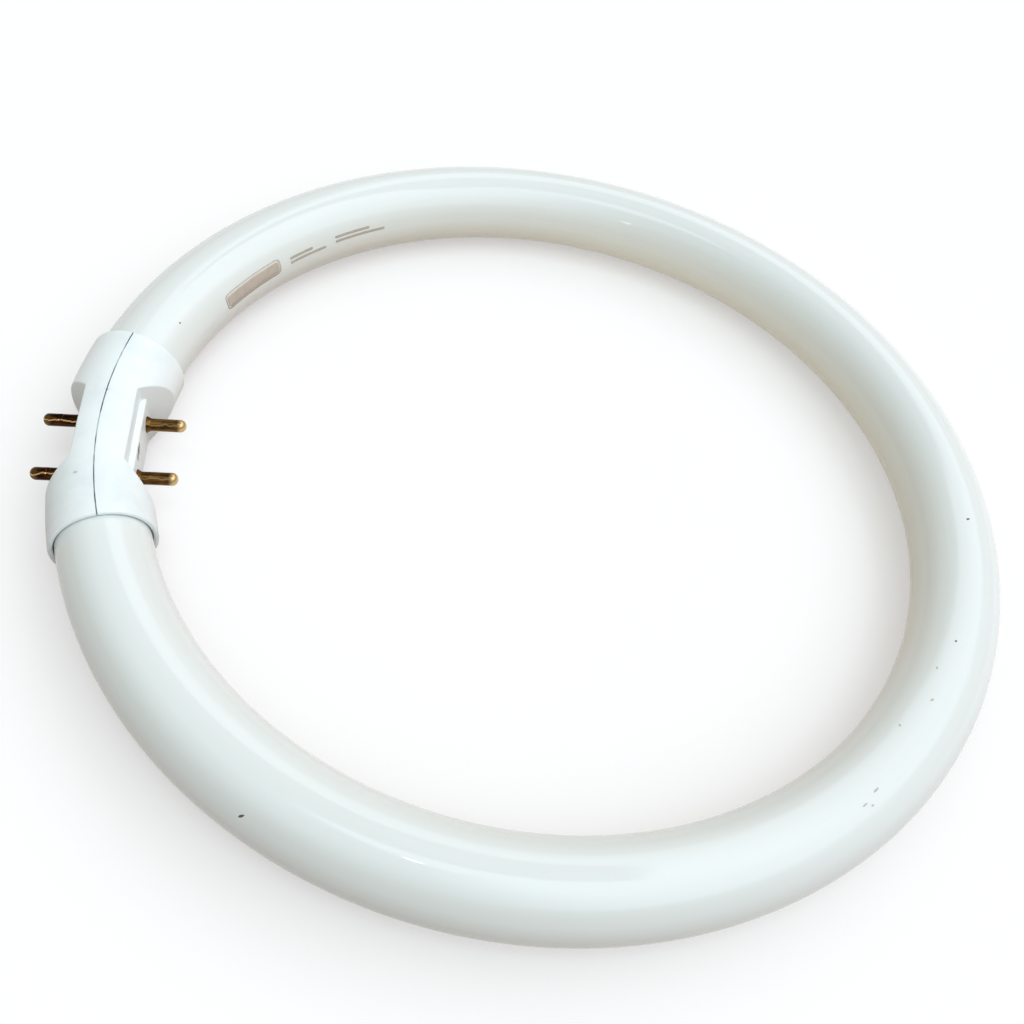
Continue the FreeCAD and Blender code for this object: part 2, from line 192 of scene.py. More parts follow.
def from_axis(tree: Tree, place: Source) -> Node:
    """Adds the distance of a place from the Z axis.

    Args:
        tree: Tree that gets the nodes.
        place: The place.

    Returns:
        The distance.
    """
    level = add_node(tree, VECTOR, {0: place, 1: (1.0, 1.0, 0.0)}, operation="MULTIPLY")
    return add_node(tree, VECTOR, {0: level}, operation="LENGTH")


def apart(tree: Tree, first: Source, second: Source | float) -> Node:
    """Adds the distance between two values.

    Args:
        tree: Tree that gets the nodes.
        first: One value.
        second: The other value.

    Returns:
        The distance.
    """
    past = add_node(tree, MATH, {0: first, 1: second}, operation="SUBTRACT")
    return add_node(tree, MATH, {0: past}, operation="ABSOLUTE")


@dataclass(frozen=True)
class Finish:
    """A procedural material, named for the real one."""

    name: str

    def start(self) -> tuple[Material, Tree, Node, Socket]:
        """Makes an empty material with one surface shader.

        Returns:
            The material, its tree, the surface shader and the piece's own coordinates.
        """
        material = bpy.data.materials.new(self.name)
        material.use_nodes = True
        tree = material.node_tree
        tree.nodes.clear()
        shader = add_node(tree, "ShaderNodeBsdfPrincipled")
        add_node(tree, "ShaderNodeOutputMaterial", {"Surface": shader})
        return material, tree, shader, add_node(tree, "ShaderNodeTexCoord").outputs["Object"]

    def patchy(
        self, tree: Tree, place: Source, size_mm: float, detail: float, edges: Span, colours: tuple[str, str]
    ) -> tuple[Node, Node]:
        """Adds a colour that goes over to another one in patches.

        Args:
            tree: Tree that gets the nodes.
            place: The piece's own coordinates.
            size_mm: Size of the patches.
            detail: How far the patches break up into smaller ones.
            edges: Values of the noise at which the second colour starts and is full.
            colours: The two colours.

        Returns:
            The noise of the patches, and the colour.
        """
        noise = add_node(tree, NOISE, {"Vector": place, "Scale": per_metre(size_mm), "Detail": detail})
        share = add_node(tree, RANGE, {"Value": noise, FROM: edges})
        return noise, add_node(tree, MIX, {0: share, COLOURS: colours}, data_type="RGBA")

    def make(self) -> Material:
        """Makes the material."""
        raise NotImplementedError


@dataclass(frozen=True)
class PowderedGlass(Finish):
    """Soda-lime glass bent to a ring and powdered inside: milky white, under a clear wet-looking skin."""

    name: str = "powdered_soda_lime_glass"
    full_powder: str = "#EDF4F3"
    thin_powder: str = "#E3EAE8"
    ring_radius_mm: float = RING_RADIUS
    tube_radius_mm: float = TUBE_RADIUS
    streak_size_mm: Span = (70.0, 4.0)
    streak_detail: float = 3.0
    ripple_size_mm: Span = (28.0, 9.0)
    ripple_detail: float = 1.0
    ripple_height_mm: float = 0.02
    smudge_mm: float = 14.0
    smudge_detail: float = 4.0
    smudge_edges: Span = (0.35, 0.7)
    roughness: Span = (0.025, 0.06)
    refraction: float = 1.52

    def unroll(self, tree: Tree, place: Source) -> Node:
        """Adds the angles of a place round the ring and round the tube.

        Args:
            tree: Tree that gets the nodes.
            place: The piece's own coordinates.

        Returns:
            The two angles, as X and Y.
        """
        parts = add_node(tree, "ShaderNodeSeparateXYZ", {0: place}).outputs
        radius = self.ring_radius_mm * MM
        outward = add_node(tree, MATH, {0: from_axis(tree, place), 1: radius}, operation="SUBTRACT")
        # Both angles have their cut out of sight: round the ring inside the cap, round the tube underneath
        along = add_node(tree, MATH, {0: parts["Y"], 1: parts["X"]}, operation="ARCTAN2")
        around = add_node(tree, MATH, {0: outward, 1: parts["Z"]}, operation="ARCTAN2")
        return add_node(tree, "ShaderNodeCombineXYZ", {"X": along, "Y": around})

    def make(self) -> Material:
        """Makes the glass, whose powder streaks and bending ripples follow the tube.

        Returns:
            The material.
        """
        material, tree, shader, place = self.start()
        unrolled = self.unroll(tree, place)
        patterns = []
        for (length, width), detail in (
            (self.streak_size_mm, self.streak_detail),
            (self.ripple_size_mm, self.ripple_detail),
        ):
            scale = (self.ring_radius_mm / length, self.tube_radius_mm / width, 1.0)
            stretched = add_node(tree, VECTOR, {0: unrolled, 1: scale}, operation="MULTIPLY")
            patterns.append(add_node(tree, NOISE, {"Vector": stretched, "Scale": 1.0, "Detail": detail}))
        streaks, ripples = patterns
        colours = (self.full_powder, self.thin_powder)
        powder = add_node(tree, MIX, {0: streaks, COLOURS: colours}, data_type="RGBA")
        grease = {"Vector": place, "Scale": per_metre(self.smudge_mm), "Detail": self.smudge_detail}
        smudges = add_node(tree, NOISE, grease)
        gloss = add_node(tree, RANGE, {"Value": smudges, FROM: self.smudge_edges, TO: self.roughness})
        depth = self.ripple_height_mm * MM
        relief = add_node(tree, BUMP, {"Height": ripples, "Strength": 1.0, "Distance": depth})
        feed(shader, {"Base Color": powder, "Roughness": gloss, "Normal": relief, "IOR": self.refraction})
        return material


@dataclass(frozen=True)
class Scuff:
    """One scuffed spot of the cap: its place and half size, in millimetres, and how dark it is."""

    place: Triple
    half_size: Triple
    share: float


@dataclass(frozen=True)
class MouldedPolyester(Finish):
    """Injection-moulded polyester: cool white, satin from the mould's grain, greyed where it was handled."""

    name: str = "moulded_white_polyester"
    clean: str = "#F3FCFE"
    handled: str = "#E6F1F4"
    cloud_mm: float = 9.0
    cloud_detail: float = 6.0
    cloud_roughness: float = 0.6
    cloud_edges: Span = (0.45, 0.75)
    satin_edges: Span = (0.3, 0.7)
    roughness: Span = (0.36, 0.5)
    grain_mm: float = 0.35
    grain_detail: float = 2.0
    grain_height_mm: float = 0.012
    grain_strength: float = 0.5
    # Darker patches along the shadow line between the halves
    seam_dark: str = "#6B7775"
    seam_radius_mm: float = RING_RADIUS
    seam_edges_mm: Span = (0.12, 0.1)
    seam_patch_mm: float = 4.0
    seam_patch_detail: float = 3.0
    seam_patch_edges: Span = (0.42, 0.6)
    seam_shares: Span = (0.1, 0.9)
    scuffed: str = "#39423F"
    ragged_mm: float = 0.3
    ragged_detail: float = 3.0
    scuff_edges: Span = (1.55, 1.15)
    scuffs: tuple[Scuff, ...] = (
        Scuff((-74.8, -1.1, 2.9), (0.6, 0.4, 0.8), 0.85),
        Scuff((-74.8, -2.3, 2.7), (0.6, 1.1, 1.1), 1.0),
        Scuff((-74.8, -3.5, 2.2), (0.6, 0.6, 0.9), 0.95),
        Scuff((-80.72, 6.37, 9.05), (0.4, 0.3, 0.3), 0.3),
        Scuff((-83.11, -12.44, 8.52), (0.5, 0.3, 0.4), 0.3),
    )
    refraction: float = 1.57

    def add_seam_darkening(self, tree: Tree, place: Source, colour: Source) -> Node:
        """Darkens the plastic in patches along the shadow line between the halves.

        Args:
            tree: Tree that gets the nodes.
            place: The piece's own coordinates.
            colour: Colour of the plastic.

        Returns:
            The colour with the dirt.
        """
        off = apart(tree, from_axis(tree, place), self.seam_radius_mm * MM)
        spread = {"Vector": place, "Scale": per_metre(self.seam_patch_mm), "Detail": self.seam_patch_detail}
        patches = add_node(tree, NOISE, spread)
        share = add_node(tree, RANGE, {"Value": patches, FROM: self.seam_patch_edges, TO: self.seam_shares})
        edges = [edge * MM for edge in self.seam_edges_mm]
        line = add_node(tree, RANGE, {"Value": off, FROM: edges, "To Max": share})
        return add_node(tree, MIX, {0: line, COLOURS: (colour, self.seam_dark)}, data_type="RGBA")

    def add_scuffs(self, tree: Tree, place: Source, colour: Source) -> Source:
        """Adds the scuffed spots to the plastic's colour.

        Args:
            tree: Tree that gets the nodes.
            place: The piece's own coordinates.
            colour: Colour of the plastic.

        Returns:
            The colour with the spots.
        """
        torn = {"Vector": place, "Scale": per_metre(self.ragged_mm), "Detail": self.ragged_detail}
        ragged = add_node(tree, NOISE, torn)
        for scuff in self.scuffs:
            centre = tuple(part * MM for part in scuff.place)
            size = tuple(part * MM for part in scuff.half_size)
            past = add_node(tree, VECTOR, {0: place, 1: centre}, operation="SUBTRACT")
            shares = add_node(tree, VECTOR, {0: past, 1: size}, operation="DIVIDE")
            reach = add_node(tree, VECTOR, {0: shares}, operation="LENGTH")
            edge = add_node(tree, MATH, {0: reach, 1: ragged}, operation="ADD")
            spot = add_node(tree, RANGE, {"Value": edge, FROM: self.scuff_edges, "To Max": scuff.share})
            colour = add_node(tree, MIX, {0: spot, COLOURS: (colour, self.scuffed)}, data_type="RGBA")
        return colour

    def make(self) -> Material:
        """Makes the plastic.

        Returns:
            The material.
        """
        material, tree, shader, place = self.start()
        shades = (self.clean, self.handled)
        clouds, colour = self.patchy(tree, place, self.cloud_mm, self.cloud_detail, self.cloud_edges, shades)
        feed(clouds, {"Roughness": self.cloud_roughness})
        worn = self.add_scuffs(tree, place, self.add_seam_darkening(tree, place, colour))
        satin = add_node(tree, RANGE, {"Value": clouds, FROM: self.satin_edges, TO: self.roughness})
        # The mould's grain is finer than a pixel of the main view, so it is drawn a little coarser than life
        mould = {"Vector": place, "Scale": per_metre(self.grain_mm), "Detail": self.grain_detail}
        grain = add_node(tree, NOISE, mould)
        depth = self.grain_height_mm * MM
        relief = add_node(tree, BUMP, {"Height": grain, "Strength": self.grain_strength, "Distance": depth})
        feed(shader, {"Base Color": worn, "Roughness": satin, "Normal": relief, "IOR": self.refraction})
        return material


@dataclass(frozen=True)
class TarnishedBrass(Finish):
    """Drawn brass, browned by handling: stained along the draw, lighter gold at the tip partly from rubbing
    and partly as a painted highlight, with a painted highlight line along the upper side.
    """

    name: str = "tarnished_drawn_brass"
    bare: str = "#8A6430"
    brown: str = "#46311A"
    # Lighter gold of the tip, partly rubbed wear and partly painted highlight, and of the painted highlight
    # line
    rubbed_and_highlight: str = "#EFD296"
    tip_mm: float = 0.0
    tip_edges_mm: Span = (1.6, 0.96)
    tip_share: float = 0.6
    pin_offset_mm: float = 6.35
    # Where round the pin the painted highlight line runs, how sharp its edges are and how strong it is
    highlight_turns: Span = (80.0, 180.0)
    highlight_edges: Span = (8.0, 4.0)
    highlight_share: float = 0.2
    stain_size_mm: Span = (2.4, 0.7)
    stain_edges: Span = (0.25, 0.6)
    sway_size_mm: Span = (2.4, 63.5)
    draw_size_mm: Span = (6.0, 0.2)
    draw_height_mm: float = 0.006
    draw_strength: float = 0.5
    detail: float = 3.0
    roughness: Span = (0.17, 0.3)

    def along_pin(self, tree: Tree, place: Source, size_mm: Span) -> Node:
        """Adds noise that is drawn out along the pins, which lie along X.

        Args:
            tree: Tree that gets the nodes.
            place: The piece's own coordinates.
            size_mm: Length and width of the noise's features.

        Returns:
            The noise.
        """
        length, width = size_mm
        scale = (per_metre(length), per_metre(width), per_metre(width))
        drawn = add_node(tree, VECTOR, {0: place, 1: scale}, operation="MULTIPLY")
        return add_node(tree, NOISE, {"Vector": drawn, "Scale": 1.0, "Detail": self.detail})

    def tip_and_highlight_mask(self, tree: Tree, place: Source) -> Node:
        """Adds a mask of the tip, lighter partly from rubbing and partly as a painted highlight, and of a
        wavy painted highlight line along the upper side of the pin.

        Args:
            tree: Tree that gets the nodes.
            place: The piece's own coordinates.

        Returns:
            The mask.
        """
        parts = add_node(tree, "ShaderNodeSeparateXYZ", {0: place}).outputs
        # The tip is lighter gold, partly from rubbing and partly as a painted highlight
        to_tip = apart(tree, parts["X"], self.tip_mm * MM)
        edges = [edge * MM for edge in self.tip_edges_mm]
        tip = add_node(tree, RANGE, {"Value": to_tip, FROM: edges, "To Max": self.tip_share})
        # A wavy painted highlight line runs along the upper side of the pin
        side = add_node(tree, MATH, {0: parts["Y"]}, operation="SIGN")
        axis = add_node(tree, MATH, {0: side, 1: self.pin_offset_mm * MM}, operation="MULTIPLY")
        across = add_node(tree, MATH, {0: parts["Y"], 1: axis}, operation="SUBTRACT")
        turn = add_node(tree, MATH, {0: parts["Z"], 1: across}, operation="ARCTAN2")
        sway = self.along_pin(tree, place, self.sway_size_mm)
        turns = [math.radians(angle) for angle in self.highlight_turns]
        highlight_turn = add_node(tree, RANGE, {"Value": sway, TO: turns})
        off = apart(tree, turn, highlight_turn)
        edges = [math.radians(angle) for angle in self.highlight_edges]
        line = add_node(tree, RANGE, {"Value": off, FROM: edges, "To Max": self.highlight_share})
        return add_node(tree, MATH, {0: tip, 1: line}, operation="MAXIMUM")

    def make(self) -> Material:
        """Makes the brass.

        Returns:
            The material.
        """
        material, tree, shader, place = self.start()
        stains = self.along_pin(tree, place, self.stain_size_mm)
        cover = add_node(tree, RANGE, {"Value": stains, FROM: self.stain_edges})
        stained = add_node(tree, MIX, {0: cover, COLOURS: (self.bare, self.brown)}, data_type="RGBA")
        # Mixes in the lighter tip, partly painted highlight, and the painted highlight line
        clean = self.tip_and_highlight_mask(tree, place)
        colour = add_node(tree, MIX, {0: clean, COLOURS: (stained, self.rubbed_and_highlight)}, data_type="RGBA")
        dull = add_node(tree, RANGE, {"Value": cover, TO: self.roughness})
        lines = self.along_pin(tree, place, self.draw_size_mm)
        depth = self.draw_height_mm * MM
        relief = add_node(tree, BUMP, {"Height": lines, "Strength": self.draw_strength, "Distance": depth})
        feed(shader, {"Base Color": colour, "Metallic": 1.0, "Roughness": dull, "Normal": relief})
        return material


@dataclass(frozen=True)
class BareWire(Finish):
    """Nickelled copper wire, drawn: pale grey metal that warms where the plating is thin."""

    name: str = "nickelled_copper_wire"
    nickel: str = "#B9B4AB"
    copper: str = "#B08468"
    patch_mm: float = 0.8
    detail: float = 3.0
    thin_edges: Span = (0.55, 0.8)
    roughness: Span = (0.25, 0.45)

    def make(self) -> Material:
        """Makes the wire's metal.

        Returns:
            The material.
        """
        material, tree, shader, place = self.start()
        metals = (self.nickel, self.copper)
        patches, colour = self.patchy(tree, place, self.patch_mm, self.detail, self.thin_edges, metals)
        dull = add_node(tree, RANGE, {"Value": patches, TO: self.roughness})
        feed(shader, {"Base Color": colour, "Metallic": 1.0, "Roughness": dull})
        return material


@dataclass(frozen=True)
class FiredInk(Finish):
    """Ceramic ink stamped on the glass and fired: flat taupe, thinner where the stamp pressed unevenly."""

    name: str = "fired_ceramic_ink"
    thick: str = "#BDB3A6"
    thin: str = "#C8C0B5"
    blot_mm: float = 1.2
    detail: float = 4.0
    thin_edges: Span = (0.4, 0.75)
    roughness: float = 0.3

    def make(self) -> Material:
        """Makes the ink.

        Returns:
            The material.
        """
        material, tree, shader, place = self.start()
        coats = (self.thick, self.thin)
        _, colour = self.patchy(tree, place, self.blot_mm, self.detail, self.thin_edges, coats)
        feed(shader, {"Base Color": colour, "Roughness": self.roughness})
        return material


@dataclass(frozen=True)
class Dirt(Finish):
    """Dried dust and grease: matt and uneven, with paler specks in it."""

    name: str = "dried_dirt"
    dark: str = "#4A4641"
    pale: str = "#77706A"
    speck_mm: float = 0.25
    detail: float = 3.0
    pale_edges: Span = (0.0, 1.0)
    roughness: float = 0.85

    def make(self) -> Material:
        """Makes the dirt.

        Returns:
            The material.
        """
        material, tree, shader, place = self.start()
        shades = (self.dark, self.pale)
        _, colour = self.patchy(tree, place, self.speck_mm, self.detail, self.pale_edges, shades)
        feed(shader, {"Base Color": colour, "Roughness": self.roughness})
        return material


class NodesModel:
    """A Geometry Nodes tree with named inputs, run on an object and turned into a plain mesh."""

    KINDS = {float: "NodeSocketFloat", int: "NodeSocketInt", Material: "NodeSocketMaterial"}

    def __init__(self, name: str, values: dict[str, float | int | Material]) -> None:
        """Makes the tree with its inputs.

        Args:
            name: Name of the tree.
            values: Value of each named input, whose type sets the kind of socket. One is named Material.
        """
        self.values = values
        self.tree = bpy.data.node_groups.new(name, "GeometryNodeTree")
        face = self.tree.interface
        face.new_socket(name="Geometry", in_out="INPUT", socket_type="NodeSocketGeometry")
        for label, value in values.items():
            face.new_socket(name=label, in_out="INPUT", socket_type=self.KINDS[type(value)])
        face.new_socket(name="Geometry", in_out="OUTPUT", socket_type="NodeSocketGeometry")
        self.given = add_node(self.tree, "NodeGroupInput").outputs

    def end(self, geometry: Source, soft: bool = True) -> None:
        """Ends the tree in plain faces with the given material.

        Args:
            geometry: What the tree has made.
            soft: Whether the faces are shaded as one smooth skin.
        """
        real = add_node(self.tree, "GeometryNodeRealizeInstances", {"Geometry": geometry})
        shade = {"Geometry": real, "Shade Smooth": soft}
        smooth = add_node(self.tree, "GeometryNodeSetShadeSmooth", shade)
        dress = {"Geometry": smooth, "Material": self.given["Material"]}
        dressed = add_node(self.tree, "GeometryNodeSetMaterial", dress)
        add_node(self.tree, "NodeGroupOutput", {"Geometry": dressed})

    def run(self, obj: Object) -> Object:
        """Runs the tree on an object and keeps the result as its mesh.

        Args:
            obj: Object whose mesh the tree starts from.

        Returns:
            The same object, with a plain mesh and no modifier.
        """
        modifier = obj.modifiers.new(self.tree.name, "NODES")
        modifier.node_group = self.tree
        for item in self.tree.interface.items_tree:
            if item.item_type == "SOCKET" and item.in_out == "INPUT" and item.name in self.values:
                modifier[item.identifier] = self.values[item.name]
        scene = bpy.context.evaluated_depsgraph_get()
        made = bpy.data.meshes.new_from_object(obj.evaluated_get(scene))
        obj.modifiers.remove(modifier)
        start = obj.data
        obj.data = made
        made.name = obj.name
        bpy.data.meshes.remove(start)
        return obj


def new_object(name: str, data: bpy.types.ID | None = None) -> Object:
    """Adds an object at the origin of the scene.

    Args:
        name: Name of the object.
        data: What the object shows, or none for an empty mesh.

    Returns:
        The new object.
    """
    obj = bpy.data.objects.new(name, data or bpy.data.meshes.new(name))
    bpy.context.scene.collection.objects.link(obj)
    return obj


def turn_outward(obj: Object) -> None:
    """Makes the faces of a closed mesh point outwards.

    Args:
        obj: Object with the mesh.
    """
    form = bmesh.new()
    form.from_mesh(obj.data)
    bmesh.ops.recalc_face_normals(form, faces=form.faces)
    form.to_mesh(obj.data)
    form.free()


def loft(form: bmesh.types.BMesh, rings: list[list[Vector]]) -> None:
    """Adds a closed skin through rings of points.

    Args:
        form: Mesh that gets the skin.
        rings: Rings with the same number of points, in order.
    """
    rows = [[form.verts.new(point) for point in ring] for ring in rings]
    count = len(rows[0])
    for low, high in zip(rows, rows[1:]):
        for i in range(count):
            j = (i + 1) % count
            form.faces.new((low[i], low[j], high[j], high[i]))
    form.faces.new(list(reversed(rows[0])))
    form.faces.new(rows[-1])


@dataclass
class GlassRing:
    """The sealed bulb: a tube bent to a ring, with a pressed seal and an exhaust tip at each hidden end."""

    finish: Finish
    ring_radius: float = RING_RADIUS
    tube_radius: float = TUBE_RADIUS
    shoulder: float = 2.5
    end_angle: float = 11.828
    # Seals and tips start inside the rounded shoulder and reach equally far
    root: float = 1.5
    reach: float = 4.9
    seal_half_width: float = 2.3
    seal_half_thickness: float = 1.2
    seal_power: float = 0.5
    # How far before its end a seal is drawn in, and by how much
    seal_rounding: tuple[Span, ...] = ((0.5, 0.0), (0.1, 0.2), (0.0, 0.6))
    exhaust_radius: float = 1.4
    exhaust_offset: float = 4.6
    exhaust_power: float = 1.0
    # How far before its end a tip narrows, and to what share
    exhaust_rounding: tuple[Span, ...] = ((1.0, 1.0), (0.5, 0.87), (0.15, 0.6), (0.0, 0.28))
    path_points: int = 640
    section_points: int = 72
    end_points: int = 24

    def sweep(self) -> NodesModel:
        """Makes the tree that sweeps a round section along the ring and rounds its ends.

        Returns:
            The tree.
        """
        start = -math.pi + math.radians(self.end_angle) - self.shoulder / self.ring_radius
        model = NodesModel(
            "swept_glass_ring",
            {
                "Ring Radius": self.ring_radius * MM,
                "Tube Radius": self.tube_radius * MM,
                "Shoulder": self.shoulder * MM,
                "Start Angle": start,
                "Sweep Angle": -2 * start,
                "Path Points": self.path_points,
                "Section Points": self.section_points,
                "Material": self.finish.make(),
            },
        )
        tree, given = model.tree, model.given
        arc = {name: given[name] for name in ("Start Angle", "Sweep Angle")}
        arc |= {"Resolution": given["Path Points"], "Radius": given["Ring Radius"]}
        path = add_node(tree, "GeometryNodeCurveArc", arc, mode="RADIUS")
        # Distance to the nearer end, and how far that is inside the rounded shoulder
        shoulder = given["Shoulder"]
        passed = add_node(tree, "GeometryNodeSplineParameter").outputs["Length"]
        whole = add_node(tree, "GeometryNodeSplineLength").outputs["Length"]
        left = add_node(tree, MATH, {0: whole, 1: passed}, operation="SUBTRACT")
        nearer = add_node(tree, MATH, {0: passed, 1: left}, operation="MINIMUM")
        inside = add_node(tree, MATH, {0: shoulder, 1: nearer}, operation="SUBTRACT")
        inside = add_node(tree, MATH, {0: inside, 1: 0.0}, operation="MAXIMUM")
        # Radius of the section, which follows a quarter circle over the shoulder
        drop = add_node(tree, MATH, {0: inside, 1: inside}, operation="MULTIPLY")
        full = add_node(tree, MATH, {0: shoulder, 1: shoulder}, operation="MULTIPLY")
        rest = add_node(tree, MATH, {0: full, 1: drop}, operation="SUBTRACT")
        rest = add_node(tree, MATH, {0: rest, 1: 0.0}, operation="MAXIMUM")
        rise = add_node(tree, MATH, {0: rest}, operation="SQRT")
        core = add_node(tree, MATH, {0: given["Tube Radius"], 1: shoulder}, operation="SUBTRACT")
        radius = add_node(tree, MATH, {0: core, 1: rise}, operation="ADD")
        circle = {"Resolution": given["Section Points"], "Radius": 1.0}
        section = add_node(tree, "GeometryNodeCurvePrimitiveCircle", circle)
        skin = {"Curve": path, "Profile Curve": section, "Scale": radius, "Fill Caps": True}
        model.end(add_node(tree, "GeometryNodeCurveToMesh", skin))
        return model

    def end_rings(self, side: int, radii: list[Triple], height: float, power: float) -> list[list[Vector]]:
        """Gives the rings of a form that stands on one end of the glass.

        Args:
            side: 1 for the rear end, -1 for the front one.
            radii: Distance past the end, half width and half height of each ring.
            height: Height of the form's axis above the axis of the glass.
            power: 1 for a round section, less for a squarer one.

        Returns:
            The rings, in metres.
        """
        angle = math.pi - math.radians(self.end_angle)
        outward = Vector((math.cos(angle), side * math.sin(angle), 0))
        onward = Vector((-math.sin(angle), side * math.cos(angle), 0))
        rings = []
        for past, wide, high in radii:
            middle = outward * self.ring_radius + onward * past + Vector((0, 0, height))
            ring = []
            for i in range(self.end_points):
                turn = 2 * math.pi * i / self.end_points
                across = math.copysign(abs(math.cos(turn)) ** power, math.cos(turn))
                up = math.copysign(abs(math.sin(turn)) ** power, math.sin(turn))
                ring.append((middle + outward * wide * across + Vector((0, 0, high * up))) * MM)
            rings.append(ring)
        return rings

    def add_ends(self, form: bmesh.types.BMesh) -> None:
        """Adds the seal and the exhaust tip to both ends of the glass.

        Args:
            form: Mesh of the glass.
        """
        wide, high, tip = self.seal_half_width, self.seal_half_thickness, self.exhaust_radius
        seal = [(self.root, wide, high)]
        seal += [(self.reach - back, wide - inset, high - inset) for back, inset in self.seal_rounding]
        exhaust = [(self.root, tip, tip)]
        exhaust += [(self.reach - back, tip * share, tip * share) for back, share in self.exhaust_rounding]
        for side in (1, -1):
            loft(form, self.end_rings(side, seal, 0.0, self.seal_power))
            loft(form, self.end_rings(side, exhaust, self.exhaust_offset, self.exhaust_power))

    def build(self) -> None:
        """Builds the bulb, dresses it and puts it in place of the plain solid."""
        bulb = self.sweep().run(new_object("glass_ring"))
        form = bmesh.new()
        form.from_mesh(bulb.data)
        self.add_ends(form)
        bmesh.ops.recalc_face_normals(form, faces=form.faces)
        for face in form.faces:
            face.smooth = True
        form.to_mesh(bulb.data)
        form.free()
        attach(bulb, BODY)
        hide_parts("glass_tube")
        LOG.info("glass ring: %d faces", len(bulb.data.polygons))


@dataclass
class TubeWrap:
    """Lays flat shapes on the tube: X goes along the ring, Y round the section, Z out of the glass."""

    ring_radius: float = RING_RADIUS
    tube_radius: float = TUBE_RADIUS

    def sizes(self) -> dict[str, float]:
        """Gives the inputs that a tree needs to lay shapes on the tube."""
        return {"Ring Radius": self.ring_radius * MM, "Tube Radius": self.tube_radius * MM}

    def lay(self, model: NodesModel, flat: Source) -> Node:
        """Adds the nodes that lay a flat shape on the tube.

        Args:
            model: Tree whose inputs hold the wrap's sizes.
            flat: The flat shape.

        Returns:
            The shape on the tube.
        """
        tree = model.tree
        ring_radius, tube_radius = (model.given[name] for name in self.sizes())
        spot = add_node(tree, "GeometryNodeInputPosition")
        parts = add_node(tree, "ShaderNodeSeparateXYZ", {0: spot}).outputs
        waves = []
        for length, radius in ((parts["X"], ring_radius), (parts["Y"], tube_radius)):
            angle = add_node(tree, MATH, {0: length, 1: radius}, operation="DIVIDE")
            waves += [add_node(tree, MATH, {0: angle}, operation=wave) for wave in ("COSINE", "SINE")]
        ring_cosine, ring_sine, tube_cosine, tube_sine = waves
        reach = add_node(tree, MATH, {0: parts["Z"], 1: tube_radius}, operation="ADD")
        out = add_node(tree, MATH, {0: reach, 1: tube_cosine}, operation="MULTIPLY")
        out = add_node(tree, MATH, {0: out, 1: ring_radius}, operation="ADD")
        x, y, z = (
            add_node(tree, MATH, {0: length, 1: wave}, operation="MULTIPLY")
            for length, wave in ((out, ring_cosine), (out, ring_sine), (reach, tube_sine))
        )
        place = add_node(tree, "ShaderNodeCombineXYZ", {"X": x, "Y": y, "Z": z})
        return add_node(tree, "GeometryNodeSetPosition", {"Geometry": flat, "Position": place})

    def flat_spot(self, ring_angle: float, section_angle: float) -> tuple[float, float]:
        """Gives the flat place, in metres, of two angles in degrees."""
        x = math.radians(ring_angle) * self.ring_radius * MM
        return x, math.radians(section_angle) * self.tube_radius * MM


@dataclass(frozen=True)
class InkField:
    """One plain printed field: its middle on the tube, in degrees, and its size, in millimetres."""

    ring_angle: float
    section_angle: float
    length: float
    height: float
    corner: float
    tone: InkTone = InkTone.LINE


